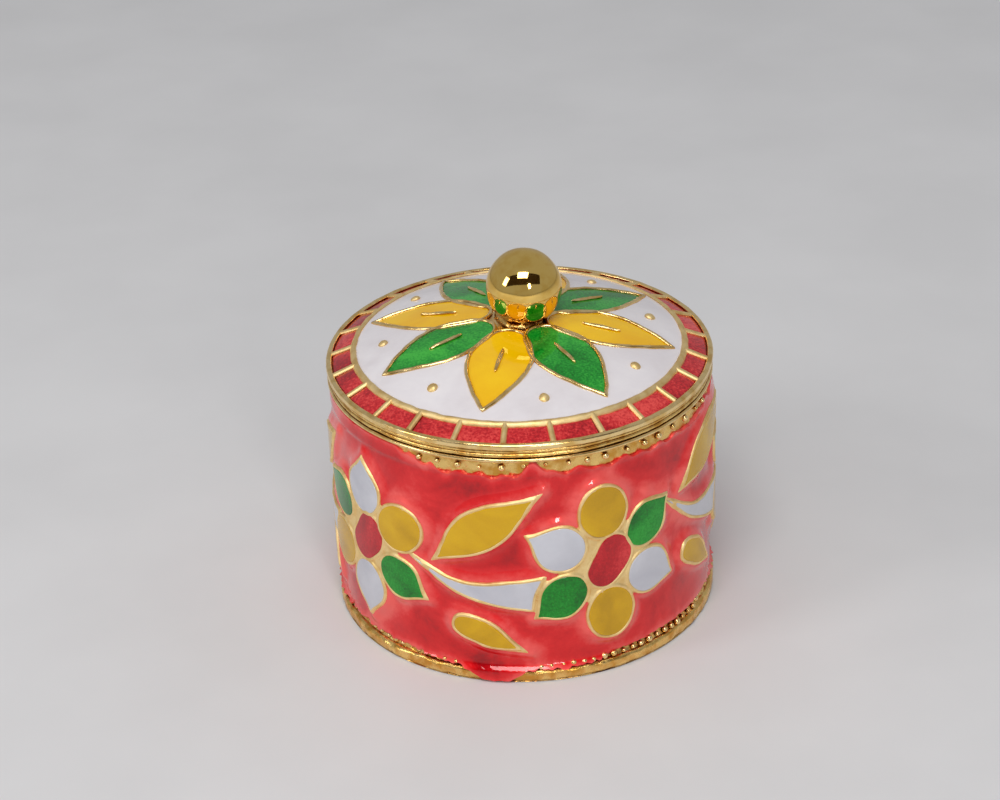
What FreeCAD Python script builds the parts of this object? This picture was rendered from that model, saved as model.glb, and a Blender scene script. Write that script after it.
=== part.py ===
import FreeCAD, Part
import math
import os
import Sketcher

# An enamelled brass pill box with a lift-off lid: a round box with a relief of flowers and leaves on
# its wall, and a domed lid with an eight-petalled flower, a ring of red tiles and a ball for a knob.
# Millimetres. The box stands on Z = 0, its axis is Z, and its front is -Y.

doc = FreeCAD.newDocument("pill_box")
sheet = doc.addObject("Spreadsheet::Sheet", "Sizes")

SIZES = [
    ("lid_radius", 14.0, "outer radius of the lid"),
    ("lid_apex", 22.1, "top of the dome under the knob"),
    ("dome_radius", 34.5, "radius of the sphere that the lid's top is part of"),
    ("rim_bore", 13.6, "inner radius of the rim wire"),
    ("rim_top", 19.42, "upper edge of the rim wire"),
    ("plate_thickness", 0.8, "thickness of the lid's domed sheet"),
    ("plate_bottom", 18.95, "underside of the lid's edge"),
    ("skirt_bottom", 18.3, "underside of the ring below the lid's edge"),
    ("skirt_radius", 13.9, "outer radius of that ring"),
    ("groove_depth", 0.1, "depth of the groove in it, and the rounding of the lid's rings"),
    ("flange_radius", 12.75, "outer radius of the flange that enters the box"),
    ("flange_bore", 12.15, "inner radius of the flange"),
    ("flange_bottom", 15.6, "lower edge of the flange"),
    ("wall_bore", 12.85, "inner radius of the box's wall"),
    ("wall_radius", 13.4, "outer radius of the bare metal wall"),
    ("wall_bottom", 0.15, "lower edge of the wall"),
    ("wall_top", 18.1, "upper edge of the wall"),
    ("ground_radius", 13.8, "face of the red enamel"),
    ("relief_radius", 14.3, "face of the raised flowers and leaves"),
    ("root_depth", 0.2, "how far the raised pieces reach into the wall, to join it"),
    ("ground_bottom", 1.4, "lower edge of the red enamel"),
    ("ground_top", 16.7, "upper edge of the red enamel"),
    ("border_radius", 13.85, "outer radius of the gold band at the top of the wall"),
    ("bead_radius", 0.22, "radius of the beaded wires"),
    ("top_bead_middle", 17.42, "height of the middle of the upper beaded wire"),
    ("foot_radius", 14.25, "outer radius of the foot ring"),
    ("foot_top", 0.95, "upper edge of the foot ring"),
    ("foot_round", 0.25, "rounding of the foot ring's outer edges"),
    ("base_bottom", 0.3, "underside of the base plate"),
    ("base_top", 0.9, "floor of the box"),
    ("cell_depth", 0.35, "depth of every enamel cell"),
    ("enamel_drop", 0.06, "how far the enamel lies below the metal edges"),
    ("outline_width", 0.3, "width of the metal left round a cell"),
    ("flower_height", 9.2, "height of the flowers' centres on the wall"),
    ("petal_start", 2.25, "distance from a wall flower's centre to where its petals start"),
    ("petal_end", 6.1, "distance from a wall flower's centre to its petals' tips"),
    ("lid_petal_start", 2.3, "distance from the axis to where the lid's petals start"),
    ("lid_petal_half_width", 2.15, "half the width of a lid petal"),
    ("field_radius", 11.75, "radius of the lid's white field"),
    ("granule_radius", 0.42, "radius of the gold granules between the petals"),
    ("granule_ring", 9.8, "distance from the axis to the granules"),
    ("tile_inner", 12.2, "inner radius of the red tiles"),
    ("tile_outer", 13.5, "outer radius of the red tiles"),
    ("tile_gap", 0.4, "width of the metal between two tiles"),
    ("cut_margin", 1.0, "how far a cutting shape reaches past what it cuts"),
    ("seat_radius", 2.0, "radius of the seat under the ball"),
    ("seat_height", 0.25, "height of the seat over the dome"),
    ("ball_radius", 2.8, "radius of the ball knob"),
    ("ball_centre", 24.5, "height of the ball's centre"),
    ("pin_radius", 0.6, "radius of the pin that holds the knob"),
    ("washer_radius", 1.8, "radius of the washer inside the lid"),
    ("washer_thickness", 0.4, "thickness of the washer"),
    ("head_radius", 1.1, "radius of the pin's rivet head"),
    ("head_thickness", 0.4, "thickness of the rivet head"),
    ("pin_gap", 0.1, "running gap round and over the washer"),
]

for row, (alias, number, note) in enumerate(SIZES, start=1):
    sheet.set(f"A{row}", note)
    sheet.set(f"B{row}", str(number))
    sheet.setAlias(f"B{row}", alias)
doc.recompute()

AXIS = FreeCAD.Vector(0, 0, 1)
ORIGIN = FreeCAD.Vector(0, 0, 0)

# Angles run from the front (-Y) towards the right (+X).
# One flower with its leaves is repeated five times round the wall. It was laid out by hand, so the
# places are uneven. Each is: angle, clockwise tilt, and which colour its topmost petal has.
WALL_FLOWERS = [(23.5, 0, 0), (100, 12, 2), (169, 2, 0), (237.5, -3, 1), (306.5, 3, 2)]
# The leaves are drawn for a gap of this many degrees to the next flower. They lie between the
# flower's own edge and the stem's tip, in millimetres from its centre; narrower gaps shorten them.
DRAWN_GAP = 77
FLOWER_EDGE = 4.6
STEM_TIP = 13.6
PETAL_COLOURS = ["yellow", "green", "white"]
# The lid's petals as angle and distance of the tip from the axis, also laid out by hand.
LID_PETALS = [(-14, 10.8), (33, 10.75), (79, 11.1), (124, 11.3),
              (166, 11.3), (209, 11.3), (252, 11.1), (297, 10.7)]
TILES = 25
FIRST_TILE_GAP = -5.5
REACH = 20


def size(alias):
    """The number that the sheet holds under this name."""
    return sheet.get(alias)


# ---------------------------------------------------------------- turned pieces

def turned(label, corners):
    """A body of revolution about Z. Its section is a polygon of (radius, height) expressions."""
    body = doc.addObject("PartDesign::Body", label)
    plane = [feature for feature in body.Origin.OriginFeatures if feature.Role == "XZ_Plane"][0]
    sketch = body.newObject("Sketcher::SketchObject", label + "_section")
    sketch.AttachmentSupport = [(plane, "")]
    sketch.MapMode = "FlatFace"
    points = []
    for radius, height in corners:
        points.append(FreeCAD.Vector(sheet.evalExpression(radius), sheet.evalExpression(height), 0))
    for start, end in zip(points, points[1:] + points[:1]):
        sketch.addGeometry(Part.LineSegment(start, end))
    for index in range(len(points)):
        following = (index + 1) % len(points)
        sketch.addConstraint(Sketcher.Constraint("Coincident", index, 2, following, 1))
    for index, (radius, height) in enumerate(corners):
        pin_coordinate(sketch, index, "DistanceX", points[index].x, radius, -2)
        pin_coordinate(sketch, index, "DistanceY", points[index].y, height, -1)
    revolution = body.newObject("PartDesign::Revolution", label + "_turned")
    revolution.Profile = sketch
    revolution.ReferenceAxis = (sketch, ["V_Axis"])
    revolution.Angle = 360
    return body


def pin_coordinate(sketch, line, kind, distance, expression, axis):
    """Hold the start of a line at a distance from the origin, or on the axis where that is zero."""
    if abs(distance) < 1e-9:
        sketch.addConstraint(Sketcher.Constraint("PointOnObject", line, 1, axis))
        return
    constraint = sketch.addConstraint(Sketcher.Constraint(kind, -1, 1, line, 1, distance))
    sketch.setExpression(f"Constraints[{constraint}]", expression)


def ring_corners(bore, radius, bottom, top):
    """The four corners of a plain ring's section."""
    return [(bore, bottom), (radius, bottom), (radius, top), (bore, top)]


# The foot: a ring with a rounded outer edge that the box stands on, soldered round the wall.
foot_ring = turned("foot_ring", [
    ("Sizes.wall_radius", "0"),
    ("Sizes.foot_radius - Sizes.foot_round", "0"),
    ("Sizes.foot_radius", "Sizes.foot_round"),
    ("Sizes.foot_radius", "Sizes.foot_top - Sizes.foot_round"),
    ("Sizes.foot_radius - Sizes.foot_round", "Sizes.foot_top"),
    ("Sizes.wall_radius", "Sizes.foot_top"),
])

# The base: a disc let into the wall.
base_plate = turned("base_plate", [
    ("0", "Sizes.base_bottom"),
    ("Sizes.wall_bore", "Sizes.base_bottom"),
    ("Sizes.wall_bore", "Sizes.base_top"),
    ("0", "Sizes.base_top"),
])

# The beaded wire that lies on the foot ring, drawn as the plain ring that its beads fill.
foot_bead_wire = turned("foot_bead_wire", ring_corners(
    "Sizes.wall_radius", "Sizes.wall_radius + 2 * Sizes.bead_radius",
    "Sizes.foot_top", "Sizes.ground_bottom"))

# The gold band round the top of the wall, and the beaded wire round the middle of it.
top_border_ring = turned("top_border_ring", ring_corners(
    "Sizes.wall_radius", "Sizes.border_radius", "Sizes.ground_top", "Sizes.wall_top"))
top_bead_wire = turned("top_bead_wire", [
    ("Sizes.border_radius", "Sizes.top_bead_middle - Sizes.bead_radius"),
    ("Sizes.border_radius + Sizes.bead_radius", "Sizes.top_bead_middle - Sizes.bead_radius / 2"),
    ("Sizes.border_radius + Sizes.bead_radius", "Sizes.top_bead_middle + Sizes.bead_radius / 2"),
    ("Sizes.border_radius", "Sizes.top_bead_middle + Sizes.bead_radius"),
])

# The lid's rings: the grooved one that shows below its edge, the flange that enters the box, and the
# bright rim wire round its edge.
groove_middle = "(Sizes.skirt_bottom + Sizes.plate_bottom) / 2"
lid_skirt_ring = turned("lid_skirt_ring", [
    ("Sizes.flange_radius", "Sizes.skirt_bottom"),
    ("Sizes.skirt_radius - Sizes.groove_depth", "Sizes.skirt_bottom"),
    ("Sizes.skirt_radius", "Sizes.skirt_bottom + Sizes.groove_depth"),
    ("Sizes.skirt_radius", f"{groove_middle} - Sizes.groove_depth"),
    ("Sizes.skirt_radius - Sizes.groove_depth", groove_middle),
    ("Sizes.skirt_radius", f"{groove_middle} + Sizes.groove_depth"),
    ("Sizes.skirt_radius", "Sizes.plate_bottom - Sizes.groove_depth"),
    ("Sizes.skirt_radius - Sizes.groove_depth", "Sizes.plate_bottom"),
    ("Sizes.flange_radius", "Sizes.plate_bottom"),
])
lid_rim_wire = turned("lid_rim_wire", [
    ("Sizes.rim_bore", "Sizes.plate_bottom"),
    ("Sizes.lid_radius - Sizes.groove_depth", "Sizes.plate_bottom"),
    ("Sizes.lid_radius", "Sizes.plate_bottom + Sizes.groove_depth"),
    ("Sizes.lid_radius", "Sizes.rim_top - Sizes.groove_depth"),
    ("Sizes.lid_radius - Sizes.groove_depth", "Sizes.rim_top"),
    ("Sizes.rim_bore + Sizes.groove_depth", "Sizes.rim_top"),
    ("Sizes.rim_bore", "Sizes.rim_top - Sizes.groove_depth"),
])
lid_flange = turned("lid_flange", ring_corners(
    "Sizes.flange_bore", "Sizes.flange_radius", "Sizes.flange_bottom", "Sizes.plate_bottom"))

# The wall: a tube of rolled sheet, before the relief is added.
wall_tube = turned("wall_tube", ring_corners(
    "Sizes.wall_bore", "Sizes.wall_radius", "Sizes.wall_bottom", "Sizes.wall_top"))


# ---------------------------------------------------------------- flat outlines

def lens(start, end, bulge, other_bulge):
    """A leaf's flat face: two arcs from tip to tip, with a bulge to the left and one to the right."""
    chord = end.sub(start)
    middle = start.add(chord * 0.5)
    left = FreeCAD.Vector(0, 1, 0).cross(chord).normalize()
    first = Part.Arc(start, middle.sub(left * bulge), end)
    second = Part.Arc(end, middle.add(left * other_bulge), start)
    return Part.Face(Part.Wire([first.toShape(), second.toShape()]))


def on_wall(face, angle):
    """The prism over a face drawn at the front, across the whole relief, turned to its angle."""
    prism = face.extrude(FreeCAD.Vector(0, -REACH, 0))
    prism.rotate(ORIGIN, AXIS, angle)
    return prism


def wall_point(across, up):
    """A point of the wall's drawing: its distance across and its height above a flower's centre."""
    return FreeCAD.Vector(across, 0, size("flower_height") + up)


def tube(inner, outer, bottom, top):
    """A plain tube about Z."""
    shell = Part.makeCylinder(outer, top - bottom, FreeCAD.Vector(0, 0, bottom))
    return shell.cut(Part.makeCylinder(inner, top - bottom, FreeCAD.Vector(0, 0, bottom)))


# ---------------------------------------------------------------- wall flowers and leaves

PETALS = 6
FIRST_PETAL_TURN = -3
# Half the width of a petal by its colour: the green ones are slim.
PETAL_HALF_WIDTH = {"yellow": 1.65, "green": 1.4, "white": 1.6}
CENTRE_HALF_WIDTH = 1.5
CENTRE_HALF_HEIGHT = 1.9
# The leaves beside a flower, as tip, tip, bulge and other bulge. The first one is its stem, which runs
# up to the petals.
LEAVES = [
    ("white", (-STEM_TIP, -0.2), (-2.4, -2.6), 0.35, 1.2),
    ("yellow", (-12.35, 0.8), (-5.2, 5.95), 1.75, 1.3),
    ("yellow", (-11.3, -4.15), (-6.7, -6.35), 0.9, 0.75),
]
# In cubic millimetres: an enamel cell smaller than the first is left as metal, and open ground smaller
# than the second is a sliver that stays metal too.
SMALLEST_FILL = 0.3
SMALLEST_GROUND = 5


def tilted(across, up, tilt):
    """A point of the flower's drawing after the drawing is turned clockwise about the flower's centre."""
    turn = math.radians(tilt)
    return across * math.cos(turn) + up * math.sin(turn), up * math.cos(turn) - across * math.sin(turn)


def petal(turn, half_width, margin):
    """A wall petal, turned clockwise from straight up, made larger all round by a margin."""
    start = wall_point(0, size("petal_start") - margin)
    end = wall_point(0, size("petal_end") + margin)
    face = lens(start, end, half_width + margin, half_width + margin)
    face.rotate(wall_point(0, 0), FreeCAD.Vector(0, 1, 0), turn)
    return face


def flower_centre(margin):
    """The oval in the middle of a wall flower."""
    top = wall_point(0, CENTRE_HALF_HEIGHT + margin)
    side = wall_point(CENTRE_HALF_WIDTH + margin, 0)
    oval = Part.Ellipse(top, side, wall_point(0, 0))
    return Part.Face(Part.Wire([oval.toShape()]))


def flower_disc(margin):
    """The disc under a flower, which joins its petals' outlines into one raised piece."""
    radius = size("petal_start") + 2 * margin + size("outline_width")
    disc = Part.Circle(wall_point(0, 0), FreeCAD.Vector(0, 1, 0), radius)
    return Part.Face(Part.Wire([disc.toShape()]))


def leaf(tip, root, bulge, other_bulge, margin):
    """A leaf's face, brought to the front about its own middle, and the angle it sits at."""
    middle = (tip[0] + root[0]) / 2
    start = wall_point(tip[0] - middle, tip[1])
    end = wall_point(root[0] - middle, root[1])
    along = end.sub(start).normalize()
    face = lens(start.sub(along * margin), end.add(along * margin), bulge + margin, other_bulge + margin)
    return face, math.degrees(middle / size("relief_radius"))


def petal_prisms(number, margin):
    """The prisms of a flower's petals and centre, each with its colour, with a margin round each."""
    angle, tilt, first_colour = WALL_FLOWERS[number]
    prisms = []
    for place in range(PETALS):
        colour = PETAL_COLOURS[(place + first_colour) % len(PETAL_COLOURS)]
        turn = place * 360 / PETALS + FIRST_PETAL_TURN + tilt
        prisms.append((colour, on_wall(petal(turn, PETAL_HALF_WIDTH[colour], margin), angle)))
    prisms.append(("red", on_wall(flower_centre(margin), angle)))
    return prisms


def leaf_prisms(number, margin):
    """The prisms of a flower's leaves, each with its colour, with a margin round each."""
    angle, tilt = WALL_FLOWERS[number][:2]
    gap = (angle - WALL_FLOWERS[number - 1][0]) % 360
    missing = math.radians(DRAWN_GAP - gap) * size("relief_radius")
    shortening = 1 - missing / (STEM_TIP - FLOWER_EDGE)
    prisms = []
    for colour, tip, root, bulge, other_bulge in LEAVES:
        ends = []
        for across, up in (tip, root):
            ends.append(tilted((across + FLOWER_EDGE) * shortening - FLOWER_EDGE, up, tilt))
        face, offset = leaf(ends[0], ends[1], bulge, other_bulge, margin)
        prisms.append((colour, on_wall(face, angle + offset)))
    return prisms


outline_width = size("outline_width")
island_foot = size("wall_radius") - size("root_depth")
relief_layer = tube(island_foot, size("relief_radius"), size("ground_bottom"), size("ground_top"))
cell_floor = size("relief_radius") - size("cell_depth")
over_relief = size("relief_radius") + size("cut_margin")
cell_layer = tube(cell_floor, over_relief, size("ground_bottom"), size("ground_top"))
enamel_top = size("relief_radius") - size("enamel_drop")
enamel_layer = tube(cell_floor, enamel_top, size("ground_bottom"), size("ground_top"))

petal_outlines = []
leaf_outlines = []
for number in range(len(WALL_FLOWERS)):
    petal_outlines += [prism for colour, prism in petal_prisms(number, outline_width)]
    petal_outlines.append(on_wall(flower_disc(outline_width), WALL_FLOWERS[number][0]))
    leaf_outlines += [prism for colour, prism in leaf_prisms(number, outline_width)]

# What the outlines leave of the relief's layer is open ground, apart from slivers shut in between
# them. What that leaves in turn is the raised islands.
open_ground = relief_layer.cut(petal_outlines + leaf_outlines)
open_ground = Part.makeCompound([piece for piece in open_ground.Solids if piece.Volume > SMALLEST_GROUND])
islands = relief_layer.cut(open_ground)


def solid_feature(label, shape):
    """A document object that holds a shape made in code."""
    feature = doc.addObject("Part::Feature", label)
    feature.Shape = shape
    feature.Placement = FreeCAD.Placement()
    return feature


def trimmed(solid, tools):
    """A solid less those tools that reach it."""
    for tool in tools:
        if tool.BoundBox.intersect(solid.BoundBox):
            solid = solid.cut(tool)
    return solid


def large_solids(shape):
    """The solids of a shape that are large enough to be filled with enamel."""
    return [solid for solid in shape.Solids if solid.Volume > SMALLEST_FILL]


# Every cell is cut into its island, and holds a filling that stops short of the metal's face. A
# leaf's cell stops at the outlines of all petals.
NODE_ENDINGS = {"yellow": "yellow_petals_and_leaves", "green": "green_petals",
                "white": "white_petals_and_leaves", "red": "red_centre"}
enamel_nodes = []
wall_cells = []
for number in range(len(WALL_FLOWERS)):
    fillings = {colour: [] for colour in NODE_ENDINGS}
    for colour, prism in petal_prisms(number, 0):
        wall_cells.append(cell_layer.common(prism))
        fillings[colour] += large_solids(enamel_layer.common(prism))
    for colour, prism in leaf_prisms(number, 0):
        for solid in large_solids(trimmed(cell_layer.common(prism), petal_outlines)):
            wall_cells.append(solid)
            fillings[colour] += large_solids(enamel_layer.common(solid))
    for colour, solids in fillings.items():
        label = f"flower_{number + 1}_{NODE_ENDINGS[colour]}"
        enamel_nodes.append(solid_feature(label, Part.makeCompound(solids)))

relief_islands = solid_feature("relief_islands", islands)
relief_cells = solid_feature("relief_cells", Part.makeCompound(wall_cells))
doc.recompute()

wall_with_relief = doc.addObject("Part::Fuse", "wall_with_relief")
wall_with_relief.Base = wall_tube
wall_with_relief.Tool = relief_islands
wall_band = doc.addObject("Part::Cut", "wall_band")
wall_band.Base = wall_with_relief
wall_band.Tool = relief_cells

# The red enamel fills the wall between the raised pieces.
ground_layer = tube(size("wall_radius"), size("ground_radius"), size("ground_bottom"), size("ground_top"))
red_ground_enamel = solid_feature("red_ground_enamel", ground_layer.common(open_ground))


# ---------------------------------------------------------------- the lid's plate

def lid_ball(label, depth):
    """The ball whose top is the lid's top, or lies a depth below it."""
    ball = doc.addObject("Part::Sphere", label)
    ball.setExpression("Radius", f"Sizes.dome_radius - ({depth})")
    ball.setExpression(".Placement.Base.z", "Sizes.lid_apex - Sizes.dome_radius")
    return ball


def lid_disc(label, radius):
    """A thick disc that stands on the level of the lid's underside."""
    disc = doc.addObject("Part::Cylinder", label)
    disc.setExpression("Radius", radius)
    disc.setExpression("Height", "Sizes.lid_apex - Sizes.plate_bottom + Sizes.cut_margin")
    disc.setExpression(".Placement.Base.z", "Sizes.plate_bottom")
    return disc


def boolean(kind, label, base, tool):
    """A Part boolean of two objects."""
    result = doc.addObject(kind, label)
    result.Base = base
    result.Tool = tool
    return result


cap_disc = lid_disc("cap_disc", "Sizes.rim_bore")
cap_ball = lid_ball("cap_ball", "0")
lid_cap = boolean("Part::Common", "lid_cap", cap_disc, cap_ball)
hollow_disc = lid_disc("hollow_disc", "Sizes.flange_bore")
hollow_ball = lid_ball("hollow_ball", "Sizes.plate_thickness")
lid_hollow = boolean("Part::Common", "lid_hollow", hollow_disc, hollow_ball)
lid_blank = boolean("Part::Cut", "lid_blank", lid_cap, lid_hollow)

lid_centre = FreeCAD.Vector(0, 0, size("lid_apex") - size("dome_radius"))
floor_ball = Part.makeSphere(size("dome_radius") - size("cell_depth"), lid_centre)
enamel_ball = Part.makeSphere(size("dome_radius") - size("enamel_drop"), lid_centre)
open_ball = Part.makeSphere(size("dome_radius") + size("cut_margin"), lid_centre)
over_lid = size("lid_apex") + size("cut_margin")


def lid_prism(face):
    """The prism over a flat face of the lid's drawing."""
    return face.extrude(FreeCAD.Vector(0, 0, over_lid))


def lid_petal(number, margin):
    """One of the lid's petals: a slim leaf from the middle to near the edge of the white field."""
    angle, tip = LID_PETALS[number]
    start = FreeCAD.Vector(0, -size("lid_petal_start") + margin, 0)
    end = FreeCAD.Vector(0, -tip - margin, 0)
    half_width = size("lid_petal_half_width") + margin
    middle = start.add(end) * 0.5
    side = FreeCAD.Vector(half_width, 0, 0)
    first = Part.Arc(start, middle.add(side), end)
    second = Part.Arc(end, middle.sub(side), start)
    face = Part.Face(Part.Wire([first.toShape(), second.toShape()]))
    face.rotate(ORIGIN, AXIS, angle)
    return lid_prism(face)


def filling(prism):
    """The enamel in a cell of the lid, from the cell's floor to just below the metal."""
    return prism.common(enamel_ball).cut(floor_ball)


def hollow(prism):
    """The cell itself, open at the top."""
    return prism.common(open_ball).cut(floor_ball)


lid_petal_prisms = [lid_petal(number, 0) for number in range(len(LID_PETALS))]
lid_petal_outlines = [lid_petal(number, outline_width) for number in range(len(LID_PETALS))]

# The granules: small gold balls soldered to the floor of the white field, one between two petals.
field_floor_radius = size("dome_radius") - size("cell_depth")
granule_height = lid_centre.z + math.sqrt(field_floor_radius ** 2 - size("granule_ring") ** 2)
granules = []
for number in range(len(LID_PETALS)):
    next_angle = LID_PETALS[(number + 1) % len(LID_PETALS)][0]
    half_gap = (next_angle - LID_PETALS[number][0]) % 360 / 2
    granule_centre = FreeCAD.Vector(0, -size("granule_ring"), granule_height)
    granule = Part.makeSphere(size("granule_radius"), granule_centre)
    granule.rotate(ORIGIN, AXIS, LID_PETALS[number][0] + half_gap)
    granules.append(granule)

# The middle of the flower is bare metal, up to where the petals' outlines meet.
bare_middle = Part.makeCylinder(size("lid_petal_start") + size("cut_margin"), over_lid)
field_prism = Part.makeCylinder(size("field_radius"), over_lid).cut(lid_petal_outlines + [bare_middle])

# The tiles: a ring cut across by the metal left between them.
tile_ring = tube(size("tile_inner"), size("tile_outer"), 0, over_lid)
tile_walls = []
tile_wall_length = size("lid_radius") + size("cut_margin")
tile_wall_height = over_lid + 2 * size("cut_margin")
tile_wall_corner = FreeCAD.Vector(-size("tile_gap") / 2, -tile_wall_length, -size("cut_margin"))
for number in range(TILES):
    tile_wall = Part.makeBox(size("tile_gap"), tile_wall_length, tile_wall_height, tile_wall_corner)
    tile_wall.rotate(ORIGIN, AXIS, FIRST_TILE_GAP + number * 360 / TILES)
    tile_walls.append(tile_wall)
tile_prisms = tile_ring.cut(tile_walls).Solids

hollows = [hollow(prism) for prism in lid_petal_prisms + [field_prism] + tile_prisms]
lid_cells = solid_feature("lid_cells", Part.makeCompound(hollows))
pin_hole = doc.addObject("Part::Cylinder", "pin_hole")
pin_hole.setExpression("Radius", "Sizes.pin_radius")
pin_hole.setExpression("Height", "Sizes.lid_apex + Sizes.cut_margin")
lid_with_cells = boolean("Part::Cut", "lid_with_cells", lid_blank, lid_cells)
lid_plate = boolean("Part::Cut", "lid_plate", lid_with_cells, pin_hole)

# ---------------------------------------------------------------- the lid's enamel and granules

for number, prism in enumerate(lid_petal_prisms):
    colour = "green" if number % 2 else "yellow"
    enamel_nodes.append(solid_feature(f"lid_petal_{number + 1}_{colour}", filling(prism)))
white_field = filling(field_prism).cut(granules)
enamel_nodes.append(solid_feature("lid_white_field", Part.makeCompound(large_solids(white_field))))
tile_fillings = [filling(prism).Solids[0] for prism in tile_prisms]
enamel_nodes.append(solid_feature("lid_red_tiles", Part.makeCompound(tile_fillings)))
granule_caps = [granule.cut(floor_ball).Solids[0] for granule in granules]
lid_granules = solid_feature("lid_granules", Part.makeCompound(granule_caps))

# ---------------------------------------------------------------- the knob

# The seat, a low cup that follows the dome; the ball, with its underside cut flat on the seat; and
# the pin, which runs from inside the ball through the plate and ends in a rivet head inside the lid.
seat_rod = doc.addObject("Part::Cylinder", "seat_rod")
seat_rod.setExpression("Radius", "Sizes.seat_radius")
seat_rod.setExpression("Height", "Sizes.lid_apex + Sizes.seat_height")
knob_seat_blank = boolean("Part::Cut", "knob_seat_blank", seat_rod, lid_ball("seat_ball", "0"))
seat_pin_hole = doc.addObject("Part::Cylinder", "seat_pin_hole")
seat_pin_hole.setExpression("Radius", "Sizes.pin_radius")
seat_pin_hole.setExpression("Height", "Sizes.lid_apex + Sizes.cut_margin")
knob_seat = boolean("Part::Cut", "knob_seat", knob_seat_blank, seat_pin_hole)

ball_blank = doc.addObject("Part::Sphere", "ball_blank")
ball_blank.setExpression("Radius", "Sizes.ball_radius")
ball_blank.setExpression(".Placement.Base.z", "Sizes.ball_centre")
pin_bore = doc.addObject("Part::Cylinder", "pin_bore")
pin_bore.setExpression("Radius", "Sizes.pin_radius")
pin_bore.setExpression("Height", "Sizes.ball_centre")
ball_trim = doc.addObject("Part::Cylinder", "ball_trim")
ball_trim.setExpression("Radius", "Sizes.ball_radius")
ball_trim.setExpression("Height", "Sizes.lid_apex + Sizes.seat_height")
ball_base_cut = boolean("Part::Cut", "ball_base_cut", ball_blank, ball_trim)
knob_ball = boolean("Part::Cut", "knob_ball", ball_base_cut, pin_bore)

washer_top = "Sizes.lid_apex - Sizes.plate_thickness - 2 * Sizes.pin_gap"
washer_bottom = f"{washer_top} - Sizes.washer_thickness"
head_top = f"{washer_bottom} - Sizes.pin_gap"
head_bottom = f"{head_top} - Sizes.head_thickness"
knob_pin = turned("knob_pin", [
    ("0", head_bottom),
    ("Sizes.head_radius", head_bottom),
    ("Sizes.head_radius", head_top),
    ("Sizes.pin_radius", head_top),
    ("Sizes.pin_radius", "Sizes.ball_centre"),
    ("0", "Sizes.ball_centre"),
])
knob_washer = turned("knob_washer", ring_corners(
    "Sizes.pin_radius + Sizes.pin_gap", "Sizes.washer_radius", washer_bottom, washer_top))

# ---------------------------------------------------------------- checks and files

doc.recompute()
parts = [wall_band, base_plate, foot_ring, foot_bead_wire, top_border_ring, top_bead_wire,
         red_ground_enamel, lid_plate, lid_rim_wire, lid_skirt_ring, lid_flange, lid_granules,
         knob_seat, knob_ball, knob_pin, knob_washer] + enamel_nodes

for item in doc.Objects:
    if "Invalid" in item.State or "Error" in item.State:
        raise RuntimeError(f"{item.Label} failed: {item.State}")
for item in parts:
    if item.Shape.isNull() or not item.Shape.isValid() or not item.Shape.Solids:
        raise RuntimeError(f"{item.Label} has no valid solid")

os.makedirs("parts", exist_ok=True)
for item in parts:
    item.Shape.exportStep(f"parts/{item.Label}.step")
    print(f"{item.Label:36s} {len(item.Shape.Solids):3d} solids  {item.Shape.Volume:9.2f} mm3")
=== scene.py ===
import math
import random

import bpy
from mathutils import Euler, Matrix, Vector, kdtree, noise


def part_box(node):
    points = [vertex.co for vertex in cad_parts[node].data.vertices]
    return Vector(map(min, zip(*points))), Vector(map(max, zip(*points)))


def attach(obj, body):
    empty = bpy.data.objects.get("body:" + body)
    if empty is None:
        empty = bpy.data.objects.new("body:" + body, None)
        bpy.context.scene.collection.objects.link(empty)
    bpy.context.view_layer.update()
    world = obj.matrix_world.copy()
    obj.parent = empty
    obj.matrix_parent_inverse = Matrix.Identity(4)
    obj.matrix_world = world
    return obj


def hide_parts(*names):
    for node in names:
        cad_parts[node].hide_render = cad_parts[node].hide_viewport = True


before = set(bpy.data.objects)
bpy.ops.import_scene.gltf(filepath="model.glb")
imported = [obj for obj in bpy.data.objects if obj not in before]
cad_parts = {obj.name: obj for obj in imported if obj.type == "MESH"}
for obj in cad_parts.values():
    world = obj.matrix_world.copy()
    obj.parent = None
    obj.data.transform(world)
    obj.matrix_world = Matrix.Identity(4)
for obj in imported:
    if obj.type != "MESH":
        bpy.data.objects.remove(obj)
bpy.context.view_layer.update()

MM = 0.001

# ------------------------------------------------------------------ studio
# A pale seamless floor, a dim soft sky, three softboxes and a dark card that only reflections see.


def linear(hex_colour):
    """An sRGB hex colour as linear RGBA."""
    channels = [int(hex_colour[place:place + 2], 16) / 255 for place in (1, 3, 5)]
    return [c / 12.92 if c <= 0.04045 else ((c + 0.055) / 1.055) ** 2.4 for c in channels] + [1.0]


def node(material, kind, inputs=None, links=None, **settings):
    """Adds a node to a material, with its settings, its input values and its links from other nodes."""
    made = material.node_tree.nodes.new(kind)
    for name, value in settings.items():
        setattr(made, name, value)
    for name, value in (inputs or {}).items():
        made.inputs[name].default_value = value
    for name, (source, output) in (links or {}).items():
        material.node_tree.links.new(source.outputs[output], made.inputs[name])
    return made


def blank(name):
    """A new material with its nodes cleared."""
    material = bpy.data.materials.new(name)
    material.use_nodes = True
    material.node_tree.nodes.clear()
    return material


def finish(material, shader, bump=None):
    """Links a shader, and a bump if there is one, to the material's output."""
    if bump:
        material.node_tree.links.new(bump.outputs["Normal"], shader.inputs["Normal"])
    output = node(material, "ShaderNodeOutputMaterial")
    material.node_tree.links.new(shader.outputs["BSDF"], output.inputs["Surface"])
    return material


def ramp(material, source, output, stops):
    """A colour ramp over a node's output: stops are (position, hex colour)."""
    made = node(material, "ShaderNodeValToRGB", links={"Fac": (source, output)})
    elements = made.color_ramp.elements
    while len(elements) < len(stops):
        elements.new(0.5)
    for element, (position, colour) in zip(elements, stops):
        element.position = position
        element.color = linear(colour)
    return made


def use_material(piece, material):
    piece.data.materials.clear()
    piece.data.materials.append(material)


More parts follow.
